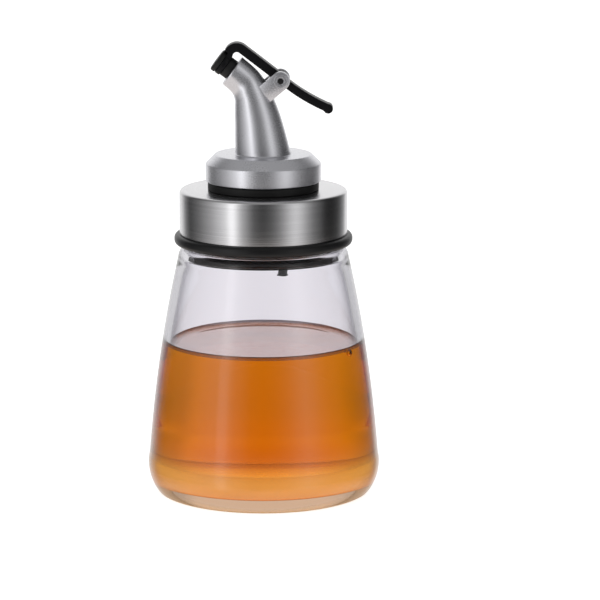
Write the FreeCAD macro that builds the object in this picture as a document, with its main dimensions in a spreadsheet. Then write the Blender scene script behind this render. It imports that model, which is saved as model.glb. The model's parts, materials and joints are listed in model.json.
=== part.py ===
"""Kitchen oil bottle with a screw lid and a lever pourer, in millimetres.

Frame: the origin is the centre of the base where it stands, +Z is up, and the spout's mouth
faces -X. The glass stands on a ring around a shallow punt. A steel-clad lid screws on the neck,
a rubber bung with the spout pushes into the lid, and a lever on a pin carries the stopper.
"""
import FreeCAD, Part
import math
import os
import re
import Sketcher

DIMENSIONS = {
    # glass bottle
    "base_radius": 39.75,        # outer radius where the wall meets the bottom corner
    "base_corner_height": 14.0,  # height of that meeting
    "base_corner_round": 16.0,
    "foot_step": 3.25,           # from there in to the outer edge of the ring it stands on
    "foot_ring": 9.5,            # width of that ring
    "punt_height": 1.2,
    "floor_thickness": 5.2,
    "inner_corner_lift": 2.0,    # how much higher the round corner ends inside
    "side_wall": 2.5,
    "wall_bow": 490.0,           # radius of the gentle bulge of the side wall
    "shoulder_step": 3.7,        # from the neck out to the shoulder
    "shoulder_height": 83.0,
    "shoulder_round": 3.4,
    "shoulder_rise": 2.89,       # height of that round
    "shoulder_inset": 2.11,      # its width
    "neck_radius": 25.7,
    "neck_wall": 1.8,
    "neck_height": 15.3,         # from the shoulder's top to the rim
    "thread_pitch": 4.0,
    "thread_round": 0.9,         # radius of the half-round thread
    "thread_rise": 5.0,          # one and a quarter turns
    "thread_angle": 30.0,        # where around the neck both threads start
    "thread_foot": 3.59,         # from the lid's lower end to the glass thread's start
    # oil
    "oil_level": 52.5,
    "oil_gap": 0.05,
    # lid
    "lid_height": 15.2,          # steel shell, seat to top
    "lid_sheet": 0.5,
    "lid_edge_round": 1.2,
    "skirt_wall": 1.45,          # of the threaded skirt inside the steel
    "flange_lip": 1.8,           # from the steel out to the flange's edge
    "flange_thickness": 3.7,
    "flange_round": 1.5,
    "liner_plate": 2.4,
    "plug_skirt_depth": 22.3,    # from under the steel top down into the neck
    "plug_skirt_wall": 1.8,
    "socket_wall": 1.5,
    "socket_depth": 11.0,
    "seal_thickness": 1.6,
    "seal_room": 0.26,           # left above the seal
    "running_gap": 0.3,          # between parts that turn or lift past each other
    "fit_gap": 0.05,             # between parts that seat in each other
    # bung
    "bung_wall": 4.0,            # from the sleeve out to the socket's bore
    "ring_lip": 5.1,             # from the socket's bore out to the ring's edge
    "ring_height": 3.0,
    "bung_depth": 11.5,
    "bung_relief": 0.4,
    "rib_height": 1.6,
    "upper_rib": 4.025,          # from the lid's top down to each rib
    "lower_rib": 8.625,
    # spout and collar
    "collar_lip": 0.75,          # from the ring's edge out to the collar's
    "collar_height": 9.3,
    "collar_chamfer": 3.3,
    "spout_wall": 1.0,
    "sleeve_wall": 1.4,
    "stem_radius": 9.6,
    "stem_root": 0.5,            # how far the stem reaches into the collar
    "bend_radius": 6.65,
    "bend_x": -4.15,
    "bend_height": 20.2,         # above the collar's top
    "bend_tilt": 33.0,
    "mouth_radius": 5.7,
    "mouth_bore": 2.9,
    "mouth_x": -10.6,
    "mouth_height": 28.7,        # above the collar's top
    "mouth_tilt": 53.3,
    "sleeve_depth": 12.6,
    # clevis
    "pivot_x": 5.95,
    "pivot_height": 25.55,       # above the collar's top
    "pin_radius": 1.2,
    "ear_radius": 3.25,
    "ear_thickness": 2.0,
    "ear_length": 8.0,
    "ear_tilt": 40.0,
    "boss_radius": 2.3,
    "boss_height": 0.3,
    # flow plate and vent tube
    "plate_thickness": 2.0,
    "vent_margin": 0.4,          # between the tube and the sleeve's bore
    "vent_radius": 1.6,
    "vent_bore": 1.0,
    "vent_lip": 0.35,
    "vent_reach": 31.5,          # from the lid's top down to the open end
    "vent_knee": 0.6,            # from the collar's foot up to where the tube starts to bend
    "vent_rise": 27.15,          # height of the bent part
    "vent_end": -0.42,           # x of its upper end
    "pour_hole_radius": 4.3,
    "plate_rim": 1.1,            # left of the plate beside the pouring hole
    # lever and stopper
    "lever_width": 5.6,
    "hub_radius": 3.0,
    "arm_thickness": 3.1,
    "arm_rise": 0.45,
    "arch_bore": 1.4,
    "arch_ahead": 1.65,          # the arch's centre from the mouth, towards the pivot
    "arch_above": 5.15,          # and above the mouth
    "arch_end": 50.0,            # how far past level the arch turns
    "tail_length": 19.0,
    "tail_tilt": 31.0,
    "tail_thickness": 2.8,
    "tail_bow": 64.0,
    "tail_end_radius": 1.65,
    "head_radius": 4.0,
    "head_thickness": 2.0,
    "stopper_overlap": 0.7,      # of the pad over the mouth's rim
    "stopper_length": 2.6,       # from the mouth to the lever's head
    "stopper_neck": 1.8,
    "button_radius": 4.1,
    "button_thickness": 1.7,
}

# Heights and radii that follow from the sizes above.
FOOT_RADIUS = "(base_radius - foot_step)"
SHOULDER_RADIUS = "(neck_radius + shoulder_step)"
SHOULDER_TOP = "(shoulder_height + shoulder_rise)"
RIM = f"({SHOULDER_TOP} + neck_height)"
NECK_BORE = "(neck_radius - neck_wall)"
PLATE_UNDER = f"({RIM} + fit_gap + seal_thickness + seal_room)"
PLATE_TOP = f"({PLATE_UNDER} + liner_plate)"
LID_TOP = f"({PLATE_TOP} + lid_sheet)"
LID_SEAT = f"({LID_TOP} - lid_height)"
LID_FOOT = f"({LID_SEAT} - flange_thickness)"
THREAD_FOOT = f"({LID_FOOT} + thread_foot)"
LINER_BORE = "(neck_radius + thread_round + running_gap)"
LINER_RADIUS = f"({LINER_BORE} + skirt_wall)"
LID_RADIUS = f"({LINER_RADIUS} + fit_gap + lid_sheet)"
FLANGE_RADIUS = f"({LID_RADIUS} + flange_lip)"
PLUG_RADIUS = f"({NECK_BORE} - running_gap)"
SPOUT_BORE = "(stem_radius - spout_wall)"
SLEEVE_RADIUS = f"({SPOUT_BORE} + sleeve_wall)"
SOCKET_RADIUS = f"({SLEEVE_RADIUS} + bung_wall)"
RING_RADIUS = f"({SOCKET_RADIUS} + ring_lip)"
COLLAR_RADIUS = f"({RING_RADIUS} + collar_lip)"
COLLAR_FOOT = f"({LID_TOP} + ring_height)"
COLLAR_TOP = f"({COLLAR_FOOT} + collar_height)"
PIVOT_Z = f"({COLLAR_TOP} + pivot_height)"
MOUTH_Z = f"({COLLAR_TOP} + mouth_height)"
SLEEVE_END = f"({COLLAR_FOOT} - sleeve_depth)"
VENT_OFFSET = f"({SPOUT_BORE} - vent_margin - vent_radius)"
VENT_SHIFT = f"({VENT_OFFSET} - vent_end)"
VENT_TURN = f"(2 * atan({VENT_SHIFT} / vent_rise))"
VENT_BEND = f"(vent_rise / sin({VENT_TURN}))"
EAR_INNER = "(lever_width / 2 + running_gap)"
# The ear's end is a hair flatter than a half circle, so that its arc has a definite side.
EAR_ROUND = "(ear_radius * 1.0001)"
ARCH_X = "(pivot_x - mouth_x - arch_ahead)"
ARCH_Z = "(mouth_height + arch_above - pivot_height)"
ARCH_DROP = "(arch_bore + arm_thickness / 2 - arm_rise)"
ARM_LENGTH = f"sqrt({ARCH_X} ^ 2 + {ARCH_Z} ^ 2 - {ARCH_DROP} ^ 2)"
ARM_TILT = f"(atan2({ARCH_Z}; {ARCH_X}) + atan2({ARCH_DROP}; {ARM_LENGTH}))"

# Stations of the stem below the bend (from root to bend) and above it (from bend to mouth), as
# shares of the way between the two in height, reach towards -X, tilt and radius.
LOWER_STATIONS = ((0.3, 0.234, 0.18, 0.28), (0.63, 0.506, 0.41, 0.61))
UPPER_STATIONS = ((0.33, 0.178, 0.59, 0.37), (0.641, 0.465, 0.887, 0.9))

doc = FreeCAD.newDocument("oil_bottle")
sheet = doc.addObject("Spreadsheet::Sheet", "dims")
for row, (alias, number) in enumerate(DIMENSIONS.items(), start=1):
    sheet.set(f"A{row}", str(number))
    sheet.setAlias(f"A{row}", alias)
doc.recompute()


def bound(expression):
    """The expression with every alias written as a cell of the sheet."""
    return re.sub(r"\b([a-z]\w*_\w+)\b", r"dims.\1", expression)


def size(expression):
    """The expression's present value."""
    return float(sheet.evalExpression(bound(expression)))


def new_body(name):
    body = doc.addObject("PartDesign::Body", name)
    body.Label = name
    return body


def new_sketch(body, name, role, at=("0", "0", "0"), turn=None):
    """A sketch on one of the body's origin planes, moved by at and turned by turn.

    turn is (axis, degrees expression), both in the plane's own coordinates.
    """
    sketch = body.newObject("Sketcher::SketchObject", name)
    plane = [f for f in body.Origin.OriginFeatures if f.Role == role][0]
    sketch.AttachmentSupport = [(plane, "")]
    sketch.MapMode = "FlatFace"
    axis, degrees = turn or ((0, 0, 1), "0")
    place = FreeCAD.Vector(*[size(e) for e in at])
    sketch.AttachmentOffset = FreeCAD.Placement(
        place, FreeCAD.Rotation(FreeCAD.Vector(*axis), size(degrees)))
    for letter, expression in zip("xyz", at):
        if expression != "0":
            sketch.setExpression(f"AttachmentOffset.Base.{letter}", bound(expression))
    if turn:
        sketch.setExpression("AttachmentOffset.Rotation.Angle", bound(degrees))
    return sketch


def tie(sketch, kind, *where, to):
    """Adds one dimension to the sketch and binds it to the sheet."""
    index = sketch.addConstraint(Sketcher.Constraint(kind, *where, size(to)))
    sketch.setExpression(f"Constraints[{index}]", bound(to))


def place_point(sketch, edge, end, x, z):
    tie(sketch, "DistanceX", -1, 1, edge, end, to=x)
    tie(sketch, "DistanceY", -1, 1, edge, end, to=z)


def arc_between(start, end, radius, side):
    """An arc of that radius from start to end, bulging to the left (1) or right (-1)."""
    chord = end - start
    left = FreeCAD.Vector(-chord.y, chord.x, 0).normalize() * side
    half = chord.Length / 2
    rise = radius - math.sqrt(radius * radius - half * half)
    return Part.Arc(start, start + chord / 2 + left * rise, end)


def outline(sketch, corners):
    """A closed outline: each corner is (x, z), or (x, z, radius, side) to arrive by an arc."""
    points = [FreeCAD.Vector(size(c[0]), size(c[1]), 0) for c in corners]
    for index, corner in enumerate(corners):
        start, end = points[index - 1], points[index]
        if len(corner) == 2:
            sketch.addGeometry(Part.LineSegment(start, end))
        else:
            sketch.addGeometry(arc_between(start, end, size(corner[2]), corner[3]))
    count = len(corners)
    ends = []
    for index, corner in enumerate(corners):
        straight = len(corner) == 2
        forward = straight or corner[3] < 0
        ends.append((1, 2) if forward else (2, 1))
    for index, corner in enumerate(corners):
        after = (index + 1) % count
        sketch.addConstraint(Sketcher.Constraint(
            "Coincident", index, ends[index][1], after, ends[after][0]))
        place_point(sketch, index, ends[index][1], corner[0], corner[1])
        if len(corner) > 2:
            tie(sketch, "Radius", index, to=corner[2])


def circle(sketch, x, z, radius):
    spot = FreeCAD.Vector(size(x), size(z), 0)
    index = sketch.addGeometry(Part.Circle(spot, FreeCAD.Vector(0, 0, 1), size(radius)))
    place_point(sketch, index, 3, x, z)
    tie(sketch, "Radius", index, to=radius)


def revolve(body, name, corners, at=("0", "0", "0"), turn=None):
    """Turns an outline on the XZ plane once around the sketch's own vertical axis."""
    sketch = new_sketch(body, name + "_outline", "XZ_Plane", at, turn)
    outline(sketch, corners)
    solid = body.newObject("PartDesign::Revolution", name)
    solid.Profile = sketch
    solid.ReferenceAxis = (sketch, ["V_Axis"])
    solid.Angle = 360
    return solid


def pad(body, name, sketch, length, both_ways=False):
    solid = body.newObject("PartDesign::Pad", name)
    solid.Profile = sketch
    solid.setExpression("Length", bound(length))
    solid.Midplane = both_ways
    return solid


def pocket(body, name, sketch, length, reverse=False, both_ways=False):
    """Cuts the sketch's area away and makes sure that something was cut."""
    doc.recompute()
    before = body.Shape.Volume
    hole = body.newObject("PartDesign::Pocket", name)
    hole.Profile = sketch
    hole.setExpression("Length", bound(length))
    hole.Reversed = reverse
    hole.Midplane = both_ways
    doc.recompute()
    if body.Shape.Volume >= before:
        raise ValueError(f"{name} cuts nothing")
    return hole


def loft(body, name, sections, kind):
    """A smooth loft through round sections: (x, z, tilt towards -X, radius) each."""
    sketches = []
    for index, (x, z, tilt, radius) in enumerate(sections):
        sketch = new_sketch(body, f"{name}_{index}", "XY_Plane", (x, "0", z), ((0, -1, 0), tilt))
        circle(sketch, "0", "0", radius)
        sketches.append(sketch)
    solid = body.newObject(kind, name)
    solid.Profile = sketches[0]
    solid.Sections = sketches[1:]
    return solid


def helix_bead(body, name, radius, start):
    """A half-round thread bead that winds up the wall of that radius."""
    sketch = new_sketch(body, name + "_section", "XZ_Plane", ("0", "0", "0"),
                        ((0, 1, 0), "thread_angle"))
    circle(sketch, radius, start, "thread_round")
    bead = body.newObject("PartDesign::AdditiveHelix", name)
    bead.Profile = sketch
    bead.ReferenceAxis = (sketch, ["V_Axis"])
    bead.Mode = 0
    bead.setExpression("Pitch", bound("thread_pitch"))
    bead.setExpression("Height", bound("thread_rise"))
    return bead


def round_edges(body, name, radius, chosen):
    """Fillets the body's edges for which chosen(edge) is true."""
    doc.recompute()
    base = body.Tip
    names = [f"Edge{i}" for i, edge in enumerate(base.Shape.Edges, start=1) if chosen(edge)]
    fillet = body.newObject("PartDesign::Fillet", name)
    fillet.Base = (base, names)
    fillet.setExpression("Radius", bound(radius))
    return fillet


def ring_at(radius, height):
    """Chooses full circles of that radius around Z at that height."""
    def chosen(edge):
        curve = edge.Curve
        return (isinstance(curve, Part.Circle)
                and abs(curve.Radius - size(radius)) < 0.01
                and abs(curve.Center.z - size(height)) < 0.01)
    return chosen


def cavity(inset):
    """Corners of the bottle's inside, from the floor's centre up to the shoulder's foot."""
    wall = f"(side_wall + {inset})"
    return [
        ("0", f"floor_thickness + {inset}"),
        (f"{FOOT_RADIUS} - base_corner_round / 3 - {inset}", f"floor_thickness + {inset}"),
        (f"base_radius - {wall}", f"base_corner_height + inner_corner_lift + {inset}",
         "base_corner_round - side_wall", -1),
        (f"{SHOULDER_RADIUS} - {wall}", "shoulder_height - side_wall", "wall_bow", -1),
    ]


def glass_bottle():
    body = new_body("glass_bottle")
    inside = cavity("0")
    revolve(body, "glass_wall", [
        ("0", "punt_height"),
        inside[0],
        inside[1],
        inside[2],
        inside[3],
        (NECK_BORE, f"{SHOULDER_TOP} - side_wall"),
        (NECK_BORE, RIM),
        ("neck_radius", RIM),
        ("neck_radius", SHOULDER_TOP),
        (f"{SHOULDER_RADIUS} - shoulder_inset", SHOULDER_TOP),
        (SHOULDER_RADIUS, "shoulder_height", "shoulder_round", 1),
        ("base_radius", "base_corner_height", "wall_bow", 1),
        (FOOT_RADIUS, "0", "base_corner_round", 1),
        (f"{FOOT_RADIUS} - foot_ring", "0"),
    ])
    helix_bead(body, "neck_thread", "neck_radius", THREAD_FOOT)
    return body


def oil_fill():
    """The oil fills the cavity up to a flat level."""
    body = new_body("oil_fill")
    inside = cavity("oil_gap")
    revolve(body, "cavity_full", inside + [("0", "shoulder_height - side_wall")])
    surface = new_sketch(body, "oil_surface", "XY_Plane", ("0", "0", "oil_level"))
    circle(surface, "0", "0", "base_radius * 1.5")
    pocket(body, "air_above", surface, "shoulder_height", reverse=True)
    return body


def lid_shell():
    """Drawn steel cap with a round hole in its top."""
    body = new_body("lid_shell")
    revolve(body, "cap", [
        (LID_RADIUS, LID_SEAT),
        (LID_RADIUS, LID_TOP),
        (f"{SOCKET_RADIUS} + running_gap", LID_TOP),
        (f"{SOCKET_RADIUS} + running_gap", PLATE_TOP),
        (f"{LID_RADIUS} - lid_sheet", PLATE_TOP),
        (f"{LID_RADIUS} - lid_sheet", LID_SEAT),
    ])
    round_edges(body, "top_edge", "lid_edge_round", ring_at(LID_RADIUS, LID_TOP))
    return body


def lid_liner():
    """Moulded inner cap: threaded skirt with a flange, plug skirt in the neck, bung socket."""
    body = new_body("lid_liner")
    under = f"({PLATE_TOP} - fit_gap)"
    seat = f"({LID_SEAT} - fit_gap)"
    skirt_end = f"({PLATE_TOP} - plug_skirt_depth)"
    plug_bore = f"({PLUG_RADIUS} - plug_skirt_wall)"
    socket_outer = f"({SOCKET_RADIUS} + socket_wall)"
    socket_end = f"({PLATE_TOP} - socket_depth)"
    revolve(body, "inner_cap", [
        (LINER_RADIUS, under),
        (SOCKET_RADIUS, under),
        (SOCKET_RADIUS, socket_end),
        (socket_outer, socket_end),
        (socket_outer, PLATE_UNDER),
        (plug_bore, PLATE_UNDER),
        (plug_bore, skirt_end),
        (PLUG_RADIUS, skirt_end),
        (PLUG_RADIUS, PLATE_UNDER),
        (LINER_BORE, PLATE_UNDER),
        (LINER_BORE, LID_FOOT),
        (FLANGE_RADIUS, LID_FOOT),
        (FLANGE_RADIUS, seat),
        (LINER_RADIUS, seat),
    ])
    for name, height in (("flange_under", LID_FOOT), ("flange_over", seat)):
        round_edges(body, name, "flange_round", ring_at(FLANGE_RADIUS, height))
    helix_bead(body, "lid_thread", LINER_BORE, f"{THREAD_FOOT} - thread_pitch / 2")
    return body


def neck_seal():
    """Flat ring between the glass rim and the liner's plate."""
    body = new_body("neck_seal")
    foot = f"({RIM} + fit_gap)"
    revolve(body, "seal_ring", [
        (NECK_BORE, foot),
        (f"{LINER_BORE} - running_gap", foot),
        (f"{LINER_BORE} - running_gap", f"{foot} + seal_thickness"),
        (NECK_BORE, f"{foot} + seal_thickness"),
    ])
    return body


def bung():
    """Rubber bung: the ring shows under the collar, two ribs seal in the lid's socket."""
    body = new_body("bung")
    inner = f"({SLEEVE_RADIUS} + fit_gap)"
    rib = f"({SOCKET_RADIUS} - fit_gap)"
    shaft = f"({rib} - bung_relief)"
    top = f"({COLLAR_FOOT} - fit_gap)"
    foot = f"({LID_TOP} + fit_gap)"
    end = f"({LID_TOP} - bung_depth)"
    corners = [(inner, end), (inner, top), (RING_RADIUS, top), (RING_RADIUS, foot), (shaft, foot)]
    for drop in ("upper_rib", "lower_rib"):
        high = f"({LID_TOP} - {drop})"
        low = f"({high} - rib_height)"
        corners += [(shaft, high), (rib, f"{high} - rib_height / 3"),
                    (rib, f"{low} + rib_height / 3"), (shaft, low)]
    corners.append((shaft, end))
    revolve(body, "bung_profile", corners)
    round_edges(body, "ring_edge", "ring_height / 3", ring_at(RING_RADIUS, top))
    return body


def ears(body):
    """Two ears that carry the pivot pin, each with a low boss around the pin's hole."""
    inner = EAR_INNER
    for side in (1, -1):
        name = "ear_left" if side > 0 else "ear_right"
        middle = f"{side} * ({inner} + ear_thickness / 2)"
        plate = new_sketch(body, name + "_plate", "XZ_Plane", ("pivot_x", PIVOT_Z, middle),
                           ((0, 0, 1), "ear_tilt"))
        outline(plate, [
            ("0", "-ear_radius"),
            ("0", "ear_radius", EAR_ROUND, -1),
            ("-ear_length", "ear_radius"),
            ("-ear_length", "-ear_radius"),
        ])
        pad(body, name, plate, "ear_thickness", both_ways=True)
        outward = f"{side} * ({inner} + (ear_thickness + boss_height) / 2)"
        boss = new_sketch(body, name + "_ring", "XZ_Plane", ("pivot_x", PIVOT_Z, outward))
        circle(boss, "0", "0", "boss_radius")
        pad(body, name + "_boss", boss, "ear_thickness + boss_height", both_ways=True)


def spout_body():
    """Collar, inner sleeve, bent spout and clevis in one moulding."""
    body = new_body("spout_body")
    revolve(body, "collar", [
        ("0", SLEEVE_END),
        (SLEEVE_RADIUS, SLEEVE_END),
        (SLEEVE_RADIUS, COLLAR_FOOT),
        (COLLAR_RADIUS, COLLAR_FOOT),
        (COLLAR_RADIUS, f"{COLLAR_TOP} - collar_chamfer"),
        (f"{COLLAR_RADIUS} - collar_chamfer", COLLAR_TOP),
        ("0", COLLAR_TOP),
    ])
    root = f"({COLLAR_TOP} - stem_root)"
    stem = [("0", root, "0", "stem_radius")]
    for height, reach, tilt, narrow in LOWER_STATIONS:
        stem.append((f"bend_x * {reach}", f"{COLLAR_TOP} + bend_height * {height}",
                     f"bend_tilt * {tilt}",
                     f"stem_radius - (stem_radius - bend_radius) * {narrow}"))
    stem.append(("bend_x", f"{COLLAR_TOP} + bend_height", "bend_tilt", "bend_radius"))
    for height, reach, tilt, narrow in UPPER_STATIONS:
        stem.append((f"bend_x + (mouth_x - bend_x) * {reach}",
                     f"{COLLAR_TOP} + bend_height + (mouth_height - bend_height) * {height}",
                     f"bend_tilt + (mouth_tilt - bend_tilt) * {tilt}",
                     f"bend_radius - (bend_radius - mouth_radius) * {narrow}"))
    stem.append(("mouth_x", MOUTH_Z, "mouth_tilt", "mouth_radius"))
    loft(body, "stem", stem, "PartDesign::AdditiveLoft")
    ears(body)
    bore = [(x, z, tilt, f"{radius} - spout_wall") for x, z, tilt, radius in stem[:-1]]
    bore.append(("mouth_x", MOUTH_Z, "mouth_tilt", "mouth_bore"))
    loft(body, "pour_bore", bore, "PartDesign::SubtractiveLoft")
    sleeve = new_sketch(body, "sleeve_bore", "XY_Plane", ("0", "0", root))
    circle(sleeve, "0", "0", SPOUT_BORE)
    pocket(body, "sleeve_hole", sleeve, "collar_height + sleeve_depth")
    pin = new_sketch(body, "pin_place", "XZ_Plane", ("pivot_x", PIVOT_Z, "0"))
    circle(pin, "0", "0", "pin_radius + fit_gap")
    pocket(body, "pin_hole", pin, f"4 * {EAR_INNER} + 2 * ear_thickness", both_ways=True)
    return body


def flow_plate():
    """Plate in the sleeve's end with a pouring hole and the vent tube's hole."""
    body = new_body("flow_plate")
    disc = new_sketch(body, "disc_edge", "XY_Plane", ("0", "0", SLEEVE_END))
    circle(disc, "0", "0", f"{SPOUT_BORE} - fit_gap")
    circle(disc, VENT_OFFSET, "0", "vent_radius + fit_gap")
    circle(disc, f"pour_hole_radius + plate_rim - {SPOUT_BORE}", "0", "pour_hole_radius")
    pad(body, "disc", disc, "plate_thickness")
    return body


def vent_tube():
    """Air tube: straight up through the plate, then bent along the back of the spout."""
    body = new_body("vent_tube")
    end_z = f"({LID_TOP} - vent_reach)"
    bend_z = f"({COLLAR_FOOT} + vent_knee)"
    path = new_sketch(body, "tube_path", "XZ_Plane")
    low = FreeCAD.Vector(size(VENT_OFFSET), size(end_z), 0)
    knee = FreeCAD.Vector(size(VENT_OFFSET), size(bend_z), 0)
    radius = size(VENT_BEND)
    path.addGeometry(Part.LineSegment(low, knee))
    centre = knee - FreeCAD.Vector(radius, 0, 0)
    arc = Part.Circle(centre, FreeCAD.Vector(0, 0, 1), radius)
    path.addGeometry(Part.ArcOfCircle(arc, 0, math.radians(size(VENT_TURN))))
    path.addConstraint(Sketcher.Constraint("Vertical", 0))
    path.addConstraint(Sketcher.Constraint("Tangent", 0, 2, 1, 1))
    place_point(path, 0, 1, VENT_OFFSET, end_z)
    tie(path, "DistanceY", -1, 1, 0, 2, to=bend_z)
    tie(path, "Radius", 1, to=VENT_BEND)
    tie(path, "DistanceY", 1, 3, 1, 2, to="vent_rise")
    section = new_sketch(body, "tube_section", "XY_Plane", ("0", "0", end_z))
    circle(section, VENT_OFFSET, "0", "vent_radius")
    circle(section, VENT_OFFSET, "0", "vent_bore")
    tube = body.newObject("PartDesign::AdditivePipe", "tube")
    tube.Profile = section
    tube.Spine = (path, ["Edge1", "Edge2"])
    lip = new_sketch(body, "tube_lip", "XY_Plane", ("0", "0", end_z))
    circle(lip, VENT_OFFSET, "0", "vent_radius + vent_lip")
    circle(lip, VENT_OFFSET, "0", "vent_bore")
    pad(body, "tube_end", lip, "3 * vent_lip")
    return body


def pivot_pin():
    body = new_body("pivot_pin")
    section = new_sketch(body, "pin_section", "XZ_Plane", ("pivot_x", PIVOT_Z, "0"))
    circle(section, "0", "0", "pin_radius")
    pad(body, "pin", section, f"2 * ({EAR_INNER} + ear_thickness)", both_ways=True)
    return body


def lever():
    """Bar that turns on the pin: an arm and arch to the stopper's head, and a thumb tail."""
    body = new_body("lever")
    pivot = ("pivot_x", PIVOT_Z, "0")
    arm_turn = ((0, 0, -1), ARM_TILT)
    hub = new_sketch(body, "hub_edge", "XZ_Plane", pivot)
    circle(hub, "0", "0", "hub_radius")
    pad(body, "hub", hub, "lever_width", both_ways=True)
    arm = new_sketch(body, "arm_edge", "XZ_Plane", pivot, arm_turn)
    high = "(arm_rise + arm_thickness / 2)"
    low = "(arm_rise - arm_thickness / 2)"
    back = f"(-1 * {ARM_LENGTH})"
    outline(arm, [("0", low), ("0", high), (back, high), (back, low)])
    pad(body, "arm", arm, "lever_width", both_ways=True)
    arch = new_sketch(body, "arch_edge", "XZ_Plane", pivot, arm_turn)
    outer = "(arch_bore + arm_thickness)"
    along = "cos(arch_end * 1 deg)"
    down = "sin(arch_end * 1 deg)"
    outline(arch, [
        (back, high),
        (f"{back} - {outer} * {along}", f"-1 * {ARCH_DROP} - {outer} * {down}", outer, -1),
        (f"{back} - arch_bore * {along}", f"-1 * {ARCH_DROP} - arch_bore * {down}"),
        (back, low, "arch_bore", 1),
    ])
    pad(body, "arch", arch, "lever_width", both_ways=True)
    tail = new_sketch(body, "tail_edge", "XZ_Plane", pivot, ((0, 0, -1), "tail_tilt"))
    half = "tail_thickness / 2"
    outline(tail, [
        ("0", f"-{half}"),
        ("tail_length", f"-{half}", "tail_bow", -1),
        ("tail_length", half),
        ("0", half, "tail_bow", 1),
    ])
    pad(body, "tail", tail, "lever_width", both_ways=True)
    tip = new_sketch(body, "tip_edge", "XZ_Plane", pivot, ((0, 0, -1), "tail_tilt"))
    circle(tip, "tail_length", "0", "tail_end_radius")
    pad(body, "tip", tip, "lever_width", both_ways=True)
    revolve(body, "head", [
        ("0", "stopper_length + fit_gap"),
        ("head_radius", "stopper_length + fit_gap"),
        ("head_radius", "stopper_length + fit_gap + head_thickness"),
        ("0", "stopper_length + fit_gap + head_thickness"),
    ], ("mouth_x", MOUTH_Z, "0"), ((0, 0, 1), "mouth_tilt"))
    pin = new_sketch(body, "pin_edge", "XZ_Plane", pivot)
    circle(pin, "0", "0", "pin_radius + fit_gap")
    pocket(body, "pin_hole", pin, "2 * lever_width", both_ways=True)
    neck = new_sketch(body, "neck_edge", "XY_Plane", ("mouth_x", "0", MOUTH_Z),
                      ((0, -1, 0), "mouth_tilt"))
    circle(neck, "0", "0", "stopper_neck + fit_gap")
    pocket(body, "neck_hole", neck, "stopper_length + 4 * head_thickness", reverse=True)
    over = "(stopper_length + fit_gap + head_thickness)"
    seat = (f"mouth_x - {over} * sin(mouth_tilt * 1 deg)", "0",
            f"{MOUTH_Z} + {over} * cos(mouth_tilt * 1 deg)")
    recess = new_sketch(body, "button_edge", "XY_Plane", seat, ((0, -1, 0), "mouth_tilt"))
    circle(recess, "0", "0", "button_radius + 2 * fit_gap")
    pocket(body, "button_recess", recess, "4 * head_thickness", reverse=True)
    return body


def stopper():
    """Rubber stopper: pad on the mouth, waist in the lever's head, button outside."""
    body = new_body("stopper")
    pad_radius = "(mouth_bore + stopper_overlap)"
    head_foot = "stopper_length"
    head_top = "(stopper_length + 2 * fit_gap + head_thickness)"
    revolve(body, "stopper_profile", [
        ("0", "fit_gap"),
        (pad_radius, "fit_gap"),
        (pad_radius, head_foot),
        ("stopper_neck", head_foot),
        ("stopper_neck", head_top),
        ("button_radius", head_top),
        ("button_radius", f"{head_top} + button_thickness"),
        ("0", f"{head_top} + button_thickness"),
    ], ("mouth_x", MOUTH_Z, "0"), ((0, 0, 1), "mouth_tilt"))
    return body


BODIES = [glass_bottle(), oil_fill(), lid_shell(), lid_liner(), neck_seal(), bung(), spout_body(),
          flow_plate(), vent_tube(), pivot_pin(), lever(), stopper()]
doc.recompute()

faults = [f"{item.Label}: {item.State}" for item in doc.Objects
          if "Invalid" in item.State or "Error" in item.State]
for item in BODIES:
    if item.Shape.isNull() or not item.Shape.isValid():
        faults.append(f"{item.Label}: no valid shape")
if faults:
    raise ValueError("; ".join(faults))

os.makedirs("parts", exist_ok=True)
for item in BODIES:
    item.Shape.exportStep(f"parts/{item.Label}.step")
    box = item.Shape.BoundBox
    print(f"{item.Label}: {len(item.Shape.Solids)} solid, {item.Shape.Volume:.0f} mm3,"
          f" x {box.XMin:.1f} to {box.XMax:.1f}, z {box.ZMin:.1f} to {box.ZMax:.1f}")
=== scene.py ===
# %% [markdown]
# # A kitchen oil bottle with a lever pourer
# The CAD model comes first: it is a fixed frame of bodies and joints, and every finished piece
# below is made to lie on it. Everything is in metres, with +Z up, the spout's mouth
# towards -X and the lever's tail towards +X.

# %% Load the frame
import json
import math

import bmesh
import bpy
from mathutils import Matrix, Vector


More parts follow.
